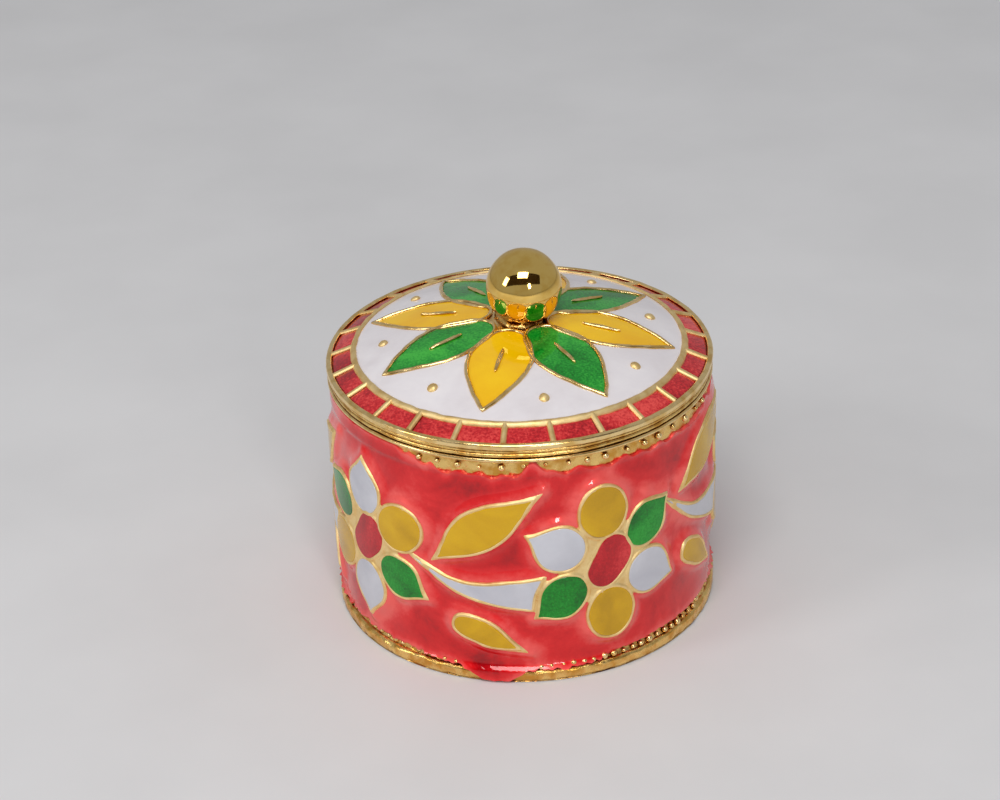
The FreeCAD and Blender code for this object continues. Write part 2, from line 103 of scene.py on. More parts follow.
# Pale paper: matt, with a faint mottle.
paper = blank("pale_studio_paper")
place = node(paper, "ShaderNodeTexCoord")
mottle = node(paper, "ShaderNodeTexNoise", {"Scale": 60.0, "Detail": 4.0}, {"Vector": (place, "Object")})
paper_colour = ramp(paper, mottle, "Fac", [(0.35, "#d9d8d8"), (0.65, "#dedddd")])
finish(paper, node(paper, "ShaderNodeBsdfPrincipled", {"Roughness": 0.9}, {"Base Color": (paper_colour, "Color")}))

bpy.ops.object.select_all(action="DESELECT")
bpy.ops.mesh.primitive_plane_add(size=3.0)
floor = bpy.context.object
floor.name = "studio_floor"
use_material(floor, paper)

world = bpy.data.worlds.new("studio")
bpy.context.scene.world = world
world.use_nodes = True
world.node_tree.nodes["Background"].inputs["Color"].default_value = (0.86, 0.87, 0.9, 1.0)
world.node_tree.nodes["Background"].inputs["Strength"].default_value = 0.42
bpy.context.scene.view_settings.view_transform = "Standard"


def softbox(name, place, width, height, watts, aim=(0, 0, 0.012)):
    """A rectangular area light at a place, turned to the box."""
    bpy.ops.object.light_add(type="AREA", location=place)
    light = bpy.context.object
    light.name = name
    light.data.shape = "RECTANGLE"
    light.data.size = width
    light.data.size_y = height
    light.data.energy = watts
    light.rotation_euler = (Vector(aim) - Vector(place)).to_track_quat("-Z", "Y").to_euler()
    return light


softbox("window_light", (-0.03, -0.22, 0.36), 0.20, 0.16, 0.76)
softbox("front_fill", (0.10, -0.36, 0.15), 0.05, 0.08, 0.22)
softbox("left_fill", (-0.34, -0.16, 0.20), 0.10, 0.16, 0.30)

# The dark card stands behind the lights and the camera, for the ball to reflect.
card_material = blank("dark_card")
card_place = node(card_material, "ShaderNodeTexCoord")
card_mottle = node(card_material, "ShaderNodeTexNoise", {"Scale": 30.0}, {"Vector": (card_place, "Object")})
card_colour = ramp(card_material, card_mottle, "Fac", [(0.3, "#3d2c1e"), (0.7, "#5a4634")])
finish(card_material, node(card_material, "ShaderNodeBsdfPrincipled", {"Roughness": 0.9},
                           {"Base Color": (card_colour, "Color")}))
bpy.ops.mesh.primitive_plane_add(size=1.0, location=(0, -0.42, 0.42), rotation=(math.radians(50), 0, 0))
card = bpy.context.object
card.name = "dark_card"
bpy.ops.transform.resize(value=(1.6, 0.42, 0.42))
card.visible_camera = False
card.visible_diffuse = False
card.visible_shadow = False
use_material(card, card_material)

# The camera looks down at 30 degrees with a long lens.
CAMERA_DISTANCE = 185.5 * MM
CAMERA_ELEVATION = math.radians(30.3)
CAMERA_ROLL = math.radians(2.3)
ahead = Vector((0, math.cos(CAMERA_ELEVATION), -math.sin(CAMERA_ELEVATION)))
above = Vector((0, math.sin(CAMERA_ELEVATION), math.cos(CAMERA_ELEVATION)))
middle = Vector((0, 0, 10 * MM))
bpy.ops.object.camera_add(location=middle - ahead * CAMERA_DISTANCE)
camera = bpy.context.object
aim = middle + Vector((-1.55, 0, 0)) * MM + above * 4.6 * MM
camera.rotation_euler = (aim - camera.location).to_track_quat("-Z", "Y").to_euler()
camera.rotation_euler.rotate_axis("Z", -CAMERA_ROLL)
camera.data.lens = 90
camera.data.sensor_width = 36
camera.data.clip_start = 0.01
bpy.context.scene.camera = camera

# ------------------------------------------------------------------ box wall
# The wall is rolled brass sheet, plated gold. Its inside and its upper edge show when the lid is off.
# The rim is rounded and polished by the lid.

WALL_BORE = 12.85
WALL_RADIUS = 13.4
WALL_BOTTOM = 0.15
WALL_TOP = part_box("wall_band")[1][2] / MM
ROUND_STEPS = 256


def lathe(name, section, steps=ROUND_STEPS):
    """Turns a closed section of (radius, height) points, in millimetres, round the axis."""
    bpy.ops.object.select_all(action="DESELECT")
    bpy.ops.mesh.primitive_plane_add(size=MM)
    piece = bpy.context.object
    piece.name = name
    bpy.ops.object.mode_set(mode="EDIT")
    bpy.ops.mesh.merge(type="CENTER")
    corners = [Vector((radius, 0, height)) * MM for radius, height in section]
    bpy.ops.transform.translate(value=corners[0])
    for start, end in zip(corners, corners[1:] + corners[:1]):
        bpy.ops.mesh.extrude_region_move(TRANSFORM_OT_translate={"value": end - start})
    bpy.ops.mesh.select_all(action="SELECT")
    bpy.ops.mesh.remove_doubles(threshold=0.002 * MM)
    bpy.ops.mesh.spin(steps=steps, angle=math.tau, center=(0, 0, 0), axis=(0, 0, 1))
    bpy.ops.mesh.select_all(action="SELECT")
    bpy.ops.mesh.remove_doubles(threshold=0.002 * MM)
    bpy.ops.mesh.delete_loose()
    bpy.ops.mesh.select_all(action="SELECT")
    bpy.ops.mesh.normals_make_consistent(inside=False)
    bpy.ops.object.mode_set(mode="OBJECT")
    return piece


def arc(middle_radius, middle_height, radius, first, last, steps):
    """Points of an arc of a section, from one angle to another in degrees."""
    points = []
    for step in range(steps + 1):
        angle = math.radians(first + (last - first) * step / steps)
        points.append((middle_radius + radius * math.cos(angle), middle_height + radius * math.sin(angle)))
    return points


def smooth(piece, degrees=40):
    """Smooth shading, with edges sharper than an angle kept sharp."""
    bpy.ops.object.select_all(action="DESELECT")
    piece.select_set(True)
    bpy.context.view_layer.objects.active = piece
    bpy.ops.object.shade_smooth_by_angle(angle=math.radians(degrees))


def worked(piece, grain, amount, seed=0.0):
    """Moves a piece's points by a smooth wander, as hand work leaves it: grain and amount in millimetres."""
    for vertex in piece.data.vertices:
        spot = vertex.co / (grain * MM) + Vector((seed, seed, seed))
        vertex.co += noise.noise_vector(spot) * amount * MM


def own(piece, body, slot, *replaced):
    """Says which body a piece rides on and which CAD nodes it stands for, which it hides. The slot is not used."""
    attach(piece, body)
    if replaced:
        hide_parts(*replaced)


def gold(name, light, dark, roughness, grain, height, crevice_shade_colour):
    """Gold plate over cast brass: a warm metal, duller in patches, with painted shade that darkens its crevices brown.
    """
    metal = blank(name)
    spot = node(metal, "ShaderNodeTexCoord")
    cloud = node(metal, "ShaderNodeTexNoise", {"Scale": 900.0, "Detail": 6.0, "Roughness": 0.6},
                 {"Vector": (spot, "Object")})
    tone = ramp(metal, cloud, "Fac", [(0.38, dark), (0.56, light)])
    # Painted shade: an ambient occlusion mask darkens the colour towards a brown in crevices and corners.
    crevice = node(metal, "ShaderNodeAmbientOcclusion", {"Distance": 0.5 * MM}, samples=4)
    painted_crevice_shade = ramp(metal, crevice, "AO", [(0.25, crevice_shade_colour), (0.75, "#ffffff")])
    mixed = node(metal, "ShaderNodeMix", data_type="RGBA", blend_type="MULTIPLY")
    mixed.inputs[0].default_value = 1.0
    metal.node_tree.links.new(tone.outputs["Color"], mixed.inputs[6])
    metal.node_tree.links.new(painted_crevice_shade.outputs["Color"], mixed.inputs[7])
    wear = node(metal, "ShaderNodeMapRange", {"To Min": roughness * 0.7, "To Max": roughness * 1.5},
                {"Value": (cloud, "Fac")})
    pits = node(metal, "ShaderNodeTexNoise", {"Scale": 1000.0 / grain, "Detail": 5.0, "Roughness": 0.65},
                {"Vector": (spot, "Object")})
    bump = node(metal, "ShaderNodeBump", {"Strength": height, "Distance": 0.05 * MM}, {"Height": (pits, "Fac")})
    shader = node(metal, "ShaderNodeBsdfPrincipled", {"Metallic": 1.0},
                  {"Base Color": (mixed, 2), "Roughness": (wear, "Result")})
    return finish(metal, shader, bump)


# Cast and plated, hardly polished: soft grain of about 0.25 mm.
cast_gold = gold("gold_plated_cast_brass", "#f7d080", "#d9a048", 0.24, 0.25, 0.6, "#7a4a1c")
# The same plate where it is rubbed bright: fine grain, sharper highlights.
bright_gold = gold("gold_plate_rubbed_bright", "#ffe0a0", "#eabf70", 0.2, 0.4, 0.3, "#a06a2c")
# The relief of the wall was never polished: a pale satin that catches light from every side.
satin_gold = gold("gold_plated_satin_relief", "#ffe3a6", "#f4cf88", 0.46, 0.3, 0.35, "#c08c48")
# The inside is left as it was turned: browner and duller.
turned_brass = gold("turned_brass", "#dcb878", "#cda565", 0.34, 0.15, 0.3, "#8a6434")

wall_section = [(WALL_BORE, WALL_BOTTOM), (WALL_RADIUS, WALL_BOTTOM)]
wall_section += [(WALL_RADIUS, WALL_TOP - 0.2)]
wall_section += arc(WALL_RADIUS - 0.2, WALL_TOP - 0.2, 0.2, 0, 90, 5)
wall_section += arc(WALL_BORE + 0.15, WALL_TOP - 0.15, 0.15, 90, 180, 4)
box_wall = lathe("box_wall", wall_section)
smooth(box_wall)
use_material(box_wall, turned_brass)
own(box_wall, "box", "gold_plated_brass", "wall_band")

# ------------------------------------------------------------------ base plate
# A brass disc let into the wall and soldered. Turning left rings on it.

BASE_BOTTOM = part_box("base_plate")[0][2] / MM
BASE_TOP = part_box("base_plate")[1][2] / MM
base_section = [(0, BASE_BOTTOM), (WALL_BORE, BASE_BOTTOM), (WALL_BORE, BASE_TOP)]
for ring in range(12, 0, -1):
    base_section += [(ring, BASE_TOP - 0.02), (ring - 0.5, BASE_TOP)]
base_section += [(0, BASE_TOP)]
base = lathe("box_base_plate", base_section)
smooth(base)
use_material(base, turned_brass)
own(base, "box", "plain_brass", "base_plate")

# ------------------------------------------------------------------ foot ring
# The box stands on a thick ring of cast brass soldered round the wall; it is rough and its gold is worn.

FOOT_RADIUS = 14.25
FOOT_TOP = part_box("foot_ring")[1][2] / MM
foot_section = [(WALL_RADIUS, 0), (FOOT_RADIUS - 0.3, 0)]
foot_section += arc(FOOT_RADIUS - 0.34, 0.32, 0.31, -75, 0, 5)
foot_section += arc(FOOT_RADIUS - 0.36, FOOT_TOP - 0.36, 0.33, 0, 90, 6)
# Solder fills the corner between the ring and the wall.
foot_section += [(WALL_RADIUS + 0.34, FOOT_TOP), (WALL_RADIUS + 0.24, FOOT_TOP + 0.3)]
foot_section += [(WALL_RADIUS + 0.2, FOOT_TOP + 0.7), (WALL_RADIUS, FOOT_TOP + 0.7)]
foot = lathe("box_foot_ring", foot_section, 360)
for vertex in foot.data.vertices:
    # The outer face is dented; the underside stays flat, because the box stands on it.
    if vertex.co.z > 0.1 * MM and vertex.co.xy.length > (FOOT_RADIUS - 0.4) * MM:
        dent = noise.noise(vertex.co / (1.1 * MM)) * 0.09 + noise.noise(vertex.co / (0.4 * MM)) * 0.07 - 0.1
        vertex.co.xy *= 1 + dent / FOOT_RADIUS
        vertex.co.z += noise.noise(vertex.co / (0.8 * MM)) * 0.06 * MM
smooth(foot)
use_material(foot, cast_gold)
own(foot, "box", "gold_plated_brass", "foot_ring")

# ------------------------------------------------------------------ foot beads
# A beaded wire lies on the foot ring, half sunk in the enamel. It is drawn once as one bead and copied.

FOOT_BEADS = 112
SUNK_BEAD = 0.22


def bead_row(name, count, radius, ring, height, seed, bare=((-180, 180),)):
    """One small metal bead, copied round the axis, each a little out of place. Sizes in millimetres.

    Outside the bare ranges, in degrees from the front, the beads are sunk in the enamel."""
    random.seed(seed)
    bpy.ops.object.select_all(action="DESELECT")
    bpy.ops.mesh.primitive_ico_sphere_add(subdivisions=2, radius=radius * MM)
    beads = [bpy.context.object]
    for number in range(1, count):
        bead = beads[0].copy()
        bead.data = beads[0].data.copy()
        bpy.context.collection.objects.link(bead)
        beads.append(bead)
    for number, bead in enumerate(beads):
        angle = math.tau * (number + random.uniform(-0.12, 0.12)) / count
        lift = height + random.uniform(-0.04, 0.04)
        degrees = (math.degrees(angle) + 180) % 360 - 180
        stands = any(first <= degrees <= last for first, last in bare)
        reach = ring if stands else ring - SUNK_BEAD
        bead.location = Vector((reach * math.sin(angle), -reach * math.cos(angle), lift)) * MM
        bead.scale = Vector((1, 1, random.uniform(0.85, 1.05))) * random.uniform(0.55, 1.0)
    return joined(name, beads)


def joined(name, members):
    """Joins objects into one piece whose origin is the world's, with nothing left on the object."""
    bpy.ops.object.select_all(action="DESELECT")
    for member in members:
        member.select_set(True)
    bpy.context.view_layer.objects.active = members[0]
    if len(members) > 1:
        bpy.ops.object.join()
    piece = bpy.context.object
    piece.name = name
    bpy.ops.object.transform_apply(location=True, rotation=True, scale=True)
    return piece


foot_beads = bead_row("box_foot_beads", FOOT_BEADS, 0.27, WALL_RADIUS + 0.42, FOOT_TOP + 0.2, 3,
                      [(-180, -95), (-28, -22), (0, 62), (100, 180)])
smooth(foot_beads, 60)
use_material(foot_beads, bright_gold)
own(foot_beads, "box", "gold_plated_brass", "foot_bead_wire")

# ------------------------------------------------------------------ top border
# A gold band is soldered round the top of the wall. It is lumpy, and the red enamel creeps up over it.

BORDER_RADIUS = 13.8
BORDER_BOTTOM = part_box("top_border_ring")[0][2] / MM
border_section = [(WALL_RADIUS - 0.05, BORDER_BOTTOM - 0.2), (WALL_RADIUS + 0.1, BORDER_BOTTOM - 0.2)]
border_section += [(WALL_RADIUS + 0.25, BORDER_BOTTOM + 0.05)]
border_section += [(BORDER_RADIUS, height) for height in (17.0, 17.25, 17.5, 17.75)]
border_section += arc(BORDER_RADIUS - 0.18, WALL_TOP - 0.2, 0.18, 0, 90, 5)
border_section += [(WALL_RADIUS - 0.05, WALL_TOP - 0.02)]
border = lathe("box_top_border", border_section, 480)
for vertex in border.data.vertices:
    if vertex.co.xy.length > (BORDER_RADIUS - 0.25) * MM:
        lump = noise.noise(vertex.co / (0.55 * MM)) * 0.15 + noise.noise(vertex.co / (0.25 * MM)) * 0.05 - 0.05
        vertex.co.xy *= 1 + lump / BORDER_RADIUS
smooth(border)
use_material(border, cast_gold)
own(border, "box", "gold_plated_brass", "top_border_ring")

# Its upper edge is a thin wire that the lid's rubbing keeps bright.
EDGE_WIRE = 0.15
edge_section = arc(BORDER_RADIUS + 0.02, WALL_TOP + 0.02, EDGE_WIRE, 0, 330, 11)
edge_wire = lathe("box_bright_edge", edge_section)
smooth(edge_wire, 80)
use_material(edge_wire, bright_gold)
own(edge_wire, "box", "gold_plated_brass", "top_border_ring")

# Its beaded wire: coarser beads, 1.5 mm apart, under the lid's edge.
TOP_BEADS = 58
top_beads = bead_row("box_top_beads", TOP_BEADS, 0.27, BORDER_RADIUS + 0.02, WALL_TOP - 0.5, 5,
                     [(-180, -130), (-32, 0), (10, 68), (95, 180)])
smooth(top_beads, 60)
use_material(top_beads, bright_gold)
own(top_beads, "box", "gold_plated_brass", "top_bead_wire")

# ------------------------------------------------------------------ raised flowers and leaves
# Five flowers, each with a stem leaf and two loose leaves, stand out of the wall. They are cast with
# it: a soft-edged plate under each group, and a thin raised outline round every cell.

RELIEF_RADIUS = 14.3
FLOWER_HEIGHT = 9.2
COLOURS = ["yellow", "green", "white"]
# Each flower's angle from the front, clockwise tilt, and which colour its topmost petal has.
WALL_FLOWERS = [(23.5, 0, 0), (100, 12, 2), (169, 2, 0), (237.5, -3, 1), (306.5, 3, 2)]
# The leaves are drawn for a gap of 77 degrees; narrower gaps shorten them towards the flower's edge.
DRAWN_GAP = 77
FLOWER_EDGE = 4.6
STEM_TIP = 13.6
PLATE_TOP = 0.73
PLATE_MARGIN = 0.34
OUTLINE_RADIUS = 0.12
OUTLINE_MARGIN = 0.17
OUTLINE_HEIGHT = 0.74

# Each cell is drawn flat by its corner points: across, up, and whether the outline is round or sharp
# there. A petal is drawn pointing up; the others are drawn at their place beside the flower's centre.
PETALS = {
    "yellow": [(0, 2.25, "round"), (-1.7, 4.1, "round"), (0, 6.1, "round"), (1.65, 4.1, "round")],
    "green": [(0.1, 2.2, "round"), (-1.5, 4.1, "round"), (-0.2, 6.25, "sharp"), (1.5, 4.0, "round")],
    "white": [(0, 2.15, "round"), (-1.65, 3.8, "round"), (0, 6.3, "sharp"), (1.65, 3.8, "round")],
}
FIRST_PETAL_TURN = -3
CENTRE = [(-0.4, -1.8, "round"), (-1.4, -0.85, "round"), (-1.0, 0.5, "round"), (0.45, 2.05, "round"),
          (1.8, 0.75, "round"), (1.0, -1.05, "round")]
LEAVES = [
    ("white", [(-STEM_TIP, -0.15, "sharp"), (-10.5, -1.15, "round"), (-7.0, -0.9, "round"), (-4.9, -0.65, "sharp"),
               (-5.5, -1.8, "round"), (-5.65, -2.9, "sharp"), (-8.5, -2.4, "round"), (-11.2, -1.55, "round")]),
    ("yellow", [(-12.35, 0.8, "sharp"), (-10.3, 4.3, "round"), (-5.3, 5.9, "sharp"), (-8.1, 2.4, "round")]),
    ("yellow", [(-11.2, -4.35, "round"), (-9.4, -4.05, "round"), (-6.7, -6.3, "sharp"), (-9.3, -5.85, "round")]),
]


def drawn(name, points, turn=0.0, shift=(0.0, 0.0)):
    """A closed flat outline through points in millimetres, turned clockwise in degrees and moved."""
    bpy.ops.object.select_all(action="DESELECT")
    bpy.ops.curve.primitive_bezier_circle_add(radius=MM)
    outline = bpy.context.object
    outline.name = name
    spline = outline.data.splines[0]
    spline.bezier_points.add(len(points) - 4)
    turned = math.radians(-turn)
    for bezier_point, (across, up, corner) in zip(spline.bezier_points, points):
        x = across * math.cos(turned) - up * math.sin(turned) + shift[0]
        y = across * math.sin(turned) + up * math.cos(turned) + shift[1]
        kind = "AUTO" if corner == "round" else "VECTOR"
        bezier_point.handle_left_type = kind
        bezier_point.handle_right_type = kind
        bezier_point.co = (x * MM, y * MM, 0)
    outline.data.resolution_u = 10
    return outline


def grown(points, margin):
    """An outline made larger all round. All outlines are drawn clockwise, so outwards is to the left."""
    result = []
    for number, (across, up, corner) in enumerate(points):
        before = points[number - 1]
        after = points[(number + 1) % len(points)]
        along = Vector((after[0] - before[0], after[1] - before[1])).normalized()
        result.append((across - along.y * margin, up + along.x * margin, corner))
    return result


def slab(outline, bottom, top, grow, rounding):
    """Fills an outline as a slab between two heights, larger or smaller all round, with rounded edges."""
    curve = outline.data
    curve.dimensions = "2D"
    curve.fill_mode = "BOTH"
    curve.offset = (grow - rounding) * MM
    curve.bevel_depth = rounding * MM
    curve.bevel_resolution = 3
    curve.extrude = ((top - bottom) / 2 - rounding) * MM
    bpy.ops.object.convert(target="MESH")
    for vertex in outline.data.vertices:
        vertex.co.z += (top + bottom) / 2 * MM
    return outline


def wire(outline, radius, height):
    """Makes an outline a round wire whose middle lies at a height."""
    curve = outline.data
    curve.dimensions = "3D"
    curve.bevel_depth = radius * MM
    curve.bevel_resolution = 2
    bpy.ops.object.convert(target="MESH")
    for vertex in outline.data.vertices:
        vertex.co.z += height * MM
    return outline


def roll(piece, angle):
    """Bends a flat piece round the wall: X becomes the way round, Y the height, Z stands off the wall."""
    for vertex in piece.data.vertices:
        turn = math.radians(angle) + vertex.co.x / (RELIEF_RADIUS * MM)
        radius = WALL_RADIUS * MM + vertex.co.z
        vertex.co = (radius * math.sin(turn), -radius * math.cos(turn), FLOWER_HEIGHT * MM + vertex.co.y)


def flower_cells(number):
    """The cells of one flower and its leaves: colour, points and clockwise turn."""
    angle, tilt, first_colour = WALL_FLOWERS[number]
    gap = (angle - WALL_FLOWERS[number - 1][0]) % 360
    missing = math.radians(DRAWN_GAP - gap) * RELIEF_RADIUS
    shortening = 1 - missing / (STEM_TIP - FLOWER_EDGE)
    cells = []
    for place in range(6):
        colour = COLOURS[(place + first_colour) % 3]
        cells.append((colour, PETALS[colour], place * 60 + FIRST_PETAL_TURN + tilt))
    cells.append(("red", CENTRE, tilt))
    for colour, points in LEAVES:
        shortened = [((across + FLOWER_EDGE) * shortening - FLOWER_EDGE, up, corner) for across, up, corner in points]
        cells.append((colour, shortened, tilt))
    return cells


relief_spots = []
for number, (angle, tilt, first_colour) in enumerate(WALL_FLOWERS):
    members = []
    for colour, points, turn in flower_cells(number):
        members.append(slab(drawn("plate", points, turn), -0.3, PLATE_TOP, PLATE_MARGIN, 0.14))
        members.append(wire(drawn("outline", grown(points, OUTLINE_MARGIN), turn), OUTLINE_RADIUS, OUTLINE_HEIGHT))
    disc = [(0, -3.4, "round"), (-3.4, 0, "round"), (0, 3.4, "round"), (3.4, 0, "round")]
    members.append(slab(drawn("plate", disc), -0.3, PLATE_TOP, 0, 0.14))
    relief = joined(f"flower_{number + 1}_relief", members)
    remesh = relief.modifiers.new("cast_as_one", "REMESH")
    remesh.mode = "VOXEL"
    remesh.voxel_size = 0.075 * MM
    bpy.ops.object.modifier_apply(modifier=remesh.name)
    soften = relief.modifiers.new("soften", "SMOOTH")
    soften.factor = 0.5
    soften.iterations = 3
    bpy.ops.object.modifier_apply(modifier=soften.name)
    roll(relief, angle)
    worked(relief, 0.9, 0.04, number)
    smooth(relief, 80)
    use_material(relief, satin_gold)
    own(relief, "box", "gold_plated_brass", "wall_band")
    relief_spots += [vertex.co.copy() for vertex in relief.data.vertices
                     if vertex.co.xy.length > (WALL_RADIUS + 0.25) * MM]

# ------------------------------------------------------------------ enamel in the flowers
# Each cell is filled with opaque or clear coloured enamel, fired or cured, then left glossy. It
# stands a hair below the outlines and crowns a little in the middle.

ENAMEL_TOP = 0.83


def enamel(name, thin, body, deep, clear, grain, sparkle):
    """Enamel: a coloured glass with one smooth gloss, its coat. Clear colours show the stippled metal."""
    glaze = blank(name)
    spot = node(glaze, "ShaderNodeTexCoord")
    pool = node(glaze, "ShaderNodeTexNoise", {"Scale": 260.0, "Detail": 3.0, "Roughness": 0.5, "Distortion": 0.6},
                {"Vector": (spot, "Object")})
    stipple = node(glaze, "ShaderNodeTexNoise", {"Scale": 1000.0 / grain, "Detail": 3.0, "Roughness": 0.7},
                   {"Vector": (spot, "Object")})
    depth = node(glaze, "ShaderNodeMapRange", {"From Min": 0.0, "From Max": 1.0, "To Min": -sparkle, "To Max": sparkle},
                 {"Value": (stipple, "Fac")})
    level = node(glaze, "ShaderNodeMath", links={0: (pool, "Fac"), 1: (depth, "Result")}, operation="ADD")
    colour = ramp(glaze, level, "Value", [(0.3, deep), (0.5, body), (0.72, thin)])
    ripple = node(glaze, "ShaderNodeTexNoise", {"Scale": 700.0, "Detail": 2.0}, {"Vector": (spot, "Object")})
    bump = node(glaze, "ShaderNodeBump", {"Strength": 0.12, "Distance": 0.05 * MM}, {"Height": (ripple, "Fac")})
    shader = node(glaze, "ShaderNodeBsdfPrincipled",
                  {"Metallic": clear, "Roughness": 0.34, "Specular IOR Level": 0.0, "Coat Weight": 1.0,
                   "Coat Roughness": 0.04, "Coat IOR": 1.5},
                  {"Base Color": (colour, "Color")})
    glaze.node_tree.links.new(bump.outputs["Normal"], shader.inputs["Coat Normal"])
    return finish(glaze, shader, bump)


wall_enamels = {
    "yellow": enamel("mustard_enamel", "#dcae0a", "#d0a004", "#be9002", 0.0, 0.12, 0.12),
    "green": enamel("clear_green_enamel", "#2aa432", "#0a8a20", "#046412", 0.15, 0.16, 0.35),
    "white": enamel("white_enamel", "#cfcfd6", "#c5c5cc", "#babac3", 0.0, 0.4, 0.08),
    "red": enamel("clear_red_enamel", "#e0383a", "#c41822", "#a60e18", 0.15, 0.2, 0.3),
}
NODE_NAMES = {"yellow": "petals_and_leaves", "green": "petals", "white": "petals_and_leaves", "red": "centre"}


def sliced(piece, step):
    """Cuts a flat slab along a grid, so that it can follow a curved surface smoothly."""
    bpy.ops.object.select_all(action="DESELECT")
    piece.select_set(True)
    bpy.context.view_layer.objects.active = piece
    bpy.ops.object.mode_set(mode="EDIT")
    for axis, direction in ((0, (1, 0, 0)), (1, (0, 1, 0))):
        low = min(vertex.co[axis] for vertex in piece.data.vertices)
        high = max(vertex.co[axis] for vertex in piece.data.vertices)
        cuts = max(2, round((high - low) / (step * MM)))
        for cut in range(1, cuts):
            bpy.ops.mesh.select_all(action="SELECT")
            spot = [0, 0, 0]
            spot[axis] = low + (high - low) * cut / cuts
            bpy.ops.mesh.bisect(plane_co=spot, plane_no=direction)
    bpy.ops.object.mode_set(mode="OBJECT")


def crowned(piece, points, turn, height):
    """Lifts the middle of a filled cell, most at its centre and nothing at its outline."""
    corners = [Vector((vertex.co.x, vertex.co.y)) for vertex in piece.data.vertices]
    centre = sum(corners, Vector((0, 0))) / len(corners)
    tree = kdtree.KDTree(len(corners))
    top = max(vertex.co.z for vertex in piece.data.vertices)
    rim = [vertex for vertex in piece.data.vertices if vertex.co.z < top - 0.01 * MM]
    for index, vertex in enumerate(rim):
        tree.insert((vertex.co.x, vertex.co.y, 0), index)
    tree.balance()
    widest = 0.7 * MM
    for vertex in piece.data.vertices:
        if vertex.co.z >= top - 0.01 * MM:
            edge = tree.find((vertex.co.x, vertex.co.y, 0))[2]
            share = min(1.0, edge / widest)
            vertex.co.z += height * MM * share * (2 - share)


def filled_cell(points, turn, bottom, top, grow, step):
    """One cell's enamel, still flat."""
    cell = slab(drawn("cell", points, turn), bottom, top, grow, 0.07)
    sliced(cell, step)
    crowned(cell, points, turn, 0.05)
    return cell


for number, (angle, tilt, first_colour) in enumerate(WALL_FLOWERS):
    for colour in ("yellow", "green", "white", "red"):
        members = [filled_cell(points, turn, 0.4, ENAMEL_TOP, 0.08, 0.45)
                   for cell_colour, points, turn in flower_cells(number) if cell_colour == colour]
        fill = joined(f"flower_{number + 1}_{colour}_enamel", members)
        roll(fill, angle)
        smooth(fill, 50)
        use_material(fill, wall_enamels[colour])
        own(fill, "box", f"{colour}_enamel", f"flower_{number + 1}_{colour}_{NODE_NAMES[colour]}")

# ------------------------------------------------------------------ red ground enamel
# Clear red enamel floods the wall between the raised pieces. It wells up against them and against the
# foot, creeps over the top border in places, and looks lighter where it is thin over the metal.

GROUND_RADIUS = 13.8
GROUND_BOTTOM = FOOT_TOP - 0.05
GROUND_COLUMNS = 560
GROUND_ROWS = 104
# Where the enamel's upper edge rises or falls: angle from the front, width in degrees, rise in mm.
CREEPS = [(-110, 18, 0.6), (-82, 14, 1.0), (-60, 14, 1.0), (-42, 9, 0.9), (-28, 5, 0.1), (-12, 6, -0.12),
          (3.5, 3.2, 0.8), (20, 9, -0.15), (38, 8, 0.0), (52, 6, -0.2), (80, 9, 0.7), (112, 12, -0.2),
          (140, 9, 0.6), (175, 14, -0.2), (215, 12, 0.5), (235, 8, -0.2)]


def upper_edge(angle):
    """The height of the enamel's ragged upper edge at an angle from the front."""
    height = 17.1 + 0.13 * math.sin(angle * 0.9) + 0.1 * math.sin(angle * 0.37 + 1.0)
    for middle, width, rise in CREEPS:
        away = (angle - middle + 180) % 360 - 180
        height += rise * math.exp(-(away / width) ** 2)
    spot = Vector((math.sin(math.radians(angle)), math.cos(math.radians(angle)), 0)) * 9
    height += noise.noise(spot) * 0.3 + noise.noise(spot * 2.5) * 0.1
    return min(WALL_TOP - 0.03, height)


def lower_edge(angle):
    """The height of its lower edge: it runs down over the foot in one place and stops short in two."""
    spot = Vector((math.sin(math.radians(angle)), math.cos(math.radians(angle)), 3)) * 8
    drip = 0.85 * math.exp(-((angle + 10) / 7) ** 4)
    bare = 0.45 * math.exp(-((angle - 52) / 28) ** 4) + 0.25 * math.exp(-((angle + 50) / 25) ** 4)
    return GROUND_BOTTOM + bare - drip + noise.noise(spot) * 0.12 + noise.noise(spot * 4) * 0.16


bpy.ops.object.select_all(action="DESELECT")
bpy.ops.mesh.primitive_cylinder_add(vertices=GROUND_COLUMNS, radius=GROUND_RADIUS * MM, depth=1.0, end_fill_type="NOTHING")
ground = bpy.context.object
ground.name = "box_red_ground"
bpy.ops.object.mode_set(mode="EDIT")
for row in range(1, GROUND_ROWS):
    bpy.ops.mesh.select_all(action="SELECT")
    bpy.ops.mesh.bisect(plane_co=(0, 0, row / GROUND_ROWS - 0.5), plane_no=(0, 0, 1))
bpy.ops.object.mode_set(mode="OBJECT")

relief_tree = kdtree.KDTree(len(relief_spots))
for index, spot in enumerate(relief_spots):
    relief_tree.insert(spot, index)
relief_tree.balance()

